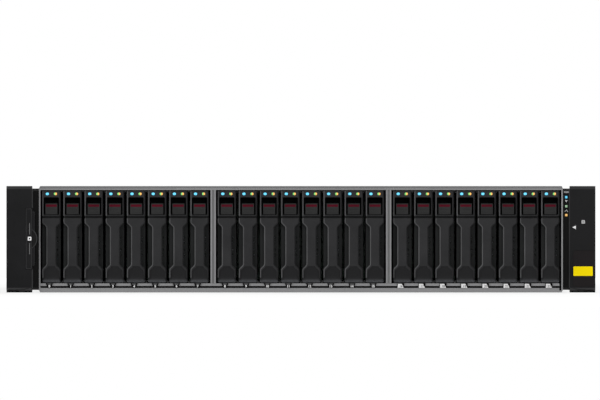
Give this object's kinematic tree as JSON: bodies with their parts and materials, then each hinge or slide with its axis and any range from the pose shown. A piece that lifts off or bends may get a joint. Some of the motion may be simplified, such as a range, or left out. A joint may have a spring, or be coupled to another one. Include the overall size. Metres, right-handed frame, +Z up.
{
  "type": "rack storage array",
  "caption": "Two-unit rack storage array with upright sliding drive carriers in front, capped rack ears, and removable controllers and power units with fans at the rear.",
  "frame": {"origin": "under the middle of the whole enclosure, on the plane it rests on", "axes": "+Z up, +X to the right seen from the front, the drive front faces -Y"},
  "size_m": [0.4826, 0.534, 0.0872],
  "materials": {
    "galvanised_steel": "satin zinc coat",
    "cage_grey": "satin paint",
    "ear_black": "satin paint",
    "screw_steel": "plated",
    "cap_plastic": "fine grain",
    "strip_plastic": "matt",
    "tab_plastic": "matt",
    "carrier_plastic": "fine grain",
    "lever_plastic": "fine grain",
    "button_plastic": "matt",
    "lens_clear": "clear moulded",
    "board_green": "solder resist",
    "connector_black": "matt",
    "fan_black": "satin",
    "module_steel": "satin zinc coat",
    "handle_plastic": "fine grain",
    "switch_plastic": "gloss"
  },
  "bodies": {
    "chassis": {"chassis_tub": "galvanised_steel", "top_cover": "galvanised_steel", "case_screws": "screw_steel", "drive_cage": "cage_grey", "bay_number_strip": "strip_plastic", "midplane_board": "board_green", "drive_connectors": "connector_black", "rear_bay_frame": "galvanised_steel", "rack_ear_left": "ear_black", "rack_ear_right": "ear_black", "ear_strip_left": "strip_plastic", "ear_strip_right": "strip_plastic", "status_lenses": "lens_clear"},
    "cap_left": {"end_cap_left": "cap_plastic"},
    "cap_right": {"end_cap_right": "cap_plastic"},
    "info_tab": {"info_tab": "tab_plastic"},
    "drive_00": {"drive_00": "carrier_plastic"},
    "drive_01": {"drive_01": "carrier_plastic"},
    "drive_02": {"drive_02": "carrier_plastic"},
    "drive_03": {"drive_03": "carrier_plastic"},
    "drive_04": {"drive_04": "carrier_plastic"},
    "drive_05": {"drive_05": "carrier_plastic"},
    "drive_06": {"drive_06": "carrier_plastic"},
    "drive_07": {"drive_07": "carrier_plastic"},
    "drive_08": {"drive_08": "carrier_plastic"},
    "drive_09": {"drive_09": "carrier_plastic"},
    "drive_10": {"drive_10": "carrier_plastic"},
    "drive_11": {"drive_11": "carrier_plastic"},
    "drive_12": {"drive_12": "carrier_plastic"},
    "drive_13": {"drive_13": "carrier_plastic"},
    "drive_14": {"drive_14": "carrier_plastic"},
    "drive_15": {"drive_15": "carrier_plastic"},
    "drive_16": {"drive_16": "carrier_plastic"},
    "drive_17": {"drive_17": "carrier_plastic"},
    "drive_18": {"drive_18": "carrier_plastic"},
    "drive_19": {"drive_19": "carrier_plastic"},
    "drive_20": {"drive_20": "carrier_plastic"},
    "drive_21": {"drive_21": "carrier_plastic"},
    "drive_22": {"drive_22": "carrier_plastic"},
    "drive_23": {"drive_23": "carrier_plastic"},
    "lever_00": {"lever_00": "lever_plastic"},
    "button_00": {"button_00": "button_plastic"},
    "lever_08": {"lever_08": "lever_plastic"},
    "button_08": {"button_08": "button_plastic"},
    "lever_16": {"lever_16": "lever_plastic"},
    "button_16": {"button_16": "button_plastic"},
    "controller_upper": {"controller_upper_tray": "module_steel", "controller_upper_board": "board_green"},
    "controller_upper_lever": {"controller_upper_lever": "handle_plastic"},
    "controller_lower": {"controller_lower_tray": "module_steel", "controller_lower_board": "board_green"},
    "controller_lower_lever": {"controller_lower_lever": "handle_plastic"},
    "power_left": {"power_left_case": "module_steel"},
    "power_left_fan": {"power_left_fan": "fan_black"},
    "power_left_handle": {"power_left_handle": "handle_plastic"},
    "power_left_switch": {"power_left_switch": "switch_plastic"},
    "power_right": {"power_right_case": "module_steel"},
    "power_right_fan": {"power_right_fan": "fan_black"},
    "power_right_handle": {"power_right_handle": "handle_plastic"},
    "power_right_switch": {"power_right_switch": "switch_plastic"}
  },
  "joints": [
    {"name": "cap_left_pull", "type": "slide", "parent": "chassis", "child": "cap_left", "axis": [0, -1, 0], "range_m": [0, 0.03]},
    {"name": "cap_right_pull", "type": "slide", "parent": "chassis", "child": "cap_right", "axis": [0, -1, 0], "range_m": [0, 0.03]},
    {"name": "info_tab_pull", "type": "slide", "parent": "cap_left", "child": "info_tab", "axis": [0, -1, 0], "range_m": [0, 0.06]},
    {"name": "drive_00_slide", "type": "slide", "parent": "chassis", "child": "drive_00", "axis": [0, -1, 0], "range_m": [0, 0.11]},
    {"name": "drive_01_slide", "type": "slide", "parent": "chassis", "child": "drive_01", "axis": [0, -1, 0], "range_m": [0, 0.11]},
    {"name": "drive_02_slide", "type": "slide", "parent": "chassis", "child": "drive_02", "axis": [0, -1, 0], "range_m": [0, 0.11]},
    {"name": "drive_03_slide", "type": "slide", "parent": "chassis", "child": "drive_03", "axis": [0, -1, 0], "range_m": [0, 0.11]},
    {"name": "drive_04_slide", "type": "slide", "parent": "chassis", "child": "drive_04", "axis": [0, -1, 0], "range_m": [0, 0.11]},
    {"name": "drive_05_slide", "type": "slide", "parent": "chassis", "child": "drive_05", "axis": [0, -1, 0], "range_m": [0, 0.11]},
    {"name": "drive_06_slide", "type": "slide", "parent": "chassis", "child": "drive_06", "axis": [0, -1, 0], "range_m": [0, 0.11]},
    {"name": "drive_07_slide", "type": "slide", "parent": "chassis", "child": "drive_07", "axis": [0, -1, 0], "range_m": [0, 0.11]},
    {"name": "drive_08_slide", "type": "slide", "parent": "chassis", "child": "drive_08", "axis": [0, -1, 0], "range_m": [0, 0.11]},
    {"name": "drive_09_slide", "type": "slide", "parent": "chassis", "child": "drive_09", "axis": [0, -1, 0], "range_m": [0, 0.11]},
    {"name": "drive_10_slide", "type": "slide", "parent": "chassis", "child": "drive_10", "axis": [0, -1, 0], "range_m": [0, 0.11]},
    {"name": "drive_11_slide", "type": "slide", "parent": "chassis", "child": "drive_11", "axis": [0, -1, 0], "range_m": [0, 0.11]},
    {"name": "drive_12_slide", "type": "slide", "parent": "chassis", "child": "drive_12", "axis": [0, -1, 0], "range_m": [0, 0.11]},
    {"name": "drive_13_slide", "type": "slide", "parent": "chassis", "child": "drive_13", "axis": [0, -1, 0], "range_m": [0, 0.11]},
    {"name": "drive_14_slide", "type": "slide", "parent": "chassis", "child": "drive_14", "axis": [0, -1, 0], "range_m": [0, 0.11]},
    {"name": "drive_15_slide", "type": "slide", "parent": "chassis", "child": "drive_15", "axis": [0, -1, 0], "range_m": [0, 0.11]},
    {"name": "drive_16_slide", "type": "slide", "parent": "chassis", "child": "drive_16", "axis": [0, -1, 0], "range_m": [0, 0.11]},
    {"name": "drive_17_slide", "type": "slide", "parent": "chassis", "child": "drive_17", "axis": [0, -1, 0], "range_m": [0, 0.11]},
    {"name": "drive_18_slide", "type": "slide", "parent": "chassis", "child": "drive_18", "axis": [0, -1, 0], "range_m": [0, 0.11]},
    {"name": "drive_19_slide", "type": "slide", "parent": "chassis", "child": "drive_19", "axis": [0, -1, 0], "range_m": [0, 0.11]},
    {"name": "drive_20_slide", "type": "slide", "parent": "chassis", "child": "drive_20", "axis": [0, -1, 0], "range_m": [0, 0.11]},
    {"name": "drive_21_slide", "type": "slide", "parent": "chassis", "child": "drive_21", "axis": [0, -1, 0], "range_m": [0, 0.11]},
    {"name": "drive_22_slide", "type": "slide", "parent": "chassis", "child": "drive_22", "axis": [0, -1, 0], "range_m": [0, 0.11]},
    {"name": "drive_23_slide", "type": "slide", "parent": "chassis", "child": "drive_23", "axis": [0, -1, 0], "range_m": [0, 0.11]},
    {"name": "lever_00_swing", "type": "hinge", "parent": "drive_00", "child": "lever_00", "pos_m": [-0.20464, -0.25505, 0.012], "axis": [1, 0, 0], "range_deg": [0, 60]},
    {"name": "button_00_press", "type": "slide", "parent": "drive_00", "child": "button_00", "axis": [0, 1, 0], "range_m": [0, 0.003], "stiffness_N_per_m": 200},
    {"name": "lever_08_swing", "type": "hinge", "parent": "drive_08", "child": "lever_08", "pos_m": [-0.06076, -0.25505, 0.012], "axis": [1, 0, 0], "range_deg": [0, 60]},
    {"name": "button_08_press", "type": "slide", "parent": "drive_08", "child": "button_08", "axis": [0, 1, 0], "range_m": [0, 0.003], "stiffness_N_per_m": 200},
    {"name": "lever_16_swing", "type": "hinge", "parent": "drive_16", "child": "lever_16", "pos_m": [0.08312, -0.25505, 0.012], "axis": [1, 0, 0], "range_deg": [0, 60]},
    {"name": "button_16_press", "type": "slide", "parent": "drive_16", "child": "button_16", "axis": [0, 1, 0], "range_m": [0, 0.003], "stiffness_N_per_m": 200},
    {"name": "controller_upper_slide", "type": "slide", "parent": "chassis", "child": "controller_upper", "axis": [0, 1, 0], "range_m": [0, 0.3]},
    {"name": "controller_upper_lever_swing", "type": "hinge", "parent": "controller_upper", "child": "controller_upper_lever", "pos_m": [-0.1005, 0.26325, 0.0605], "axis": [0, 0, 1], "range_deg": [0, 80]},
    {"name": "controller_lower_slide", "type": "slide", "parent": "chassis", "child": "controller_lower", "axis": [0, 1, 0], "range_m": [0, 0.3]},
    {"name": "controller_lower_lever_swing", "type": "hinge", "parent": "controller_lower", "child": "controller_lower_lever", "pos_m": [-0.1005, 0.26325, 0.0175], "axis": [0, 0, 1], "range_deg": [0, 80]},
    {"name": "power_left_slide", "type": "slide", "parent": "chassis", "child": "power_left", "axis": [0, 1, 0], "range_m": [0, 0.3]},
    {"name": "power_left_fan_spin", "type": "hinge", "parent": "power_left", "child": "power_left_fan", "pos_m": [-0.1513, 0.24725, 0.0436], "axis": [0, 1, 0], "continuous": true},
    {"name": "power_left_handle_swing", "type": "hinge", "parent": "power_left", "child": "power_left_handle", "pos_m": [-0.1163, 0.26365, 0.0105], "axis": [-1, 0, 0], "range_deg": [0, 75]},
    {"name": "power_left_switch_tip", "type": "hinge", "parent": "power_left", "child": "power_left_switch", "pos_m": [-0.1973, 0.25425, 0.0255], "axis": [-1, 0, 0], "range_deg": [0, 16]},
    {"name": "power_right_slide", "type": "slide", "parent": "chassis", "child": "power_right", "axis": [0, 1, 0], "range_m": [0, 0.3]},
    {"name": "power_right_fan_spin", "type": "hinge", "parent": "power_right", "child": "power_right_fan", "pos_m": [0.1513, 0.24725, 0.0436], "axis": [0, 1, 0], "continuous": true},
    {"name": "power_right_handle_swing", "type": "hinge", "parent": "power_right", "child": "power_right_handle", "pos_m": [0.1163, 0.26365, 0.0105], "axis": [-1, 0, 0], "range_deg": [0, 75]},
    {"name": "power_right_switch_tip", "type": "hinge", "parent": "power_right", "child": "power_right_switch", "pos_m": [0.1973, 0.25425, 0.0255], "axis": [-1, 0, 0], "range_deg": [0, 16]}
  ]
}
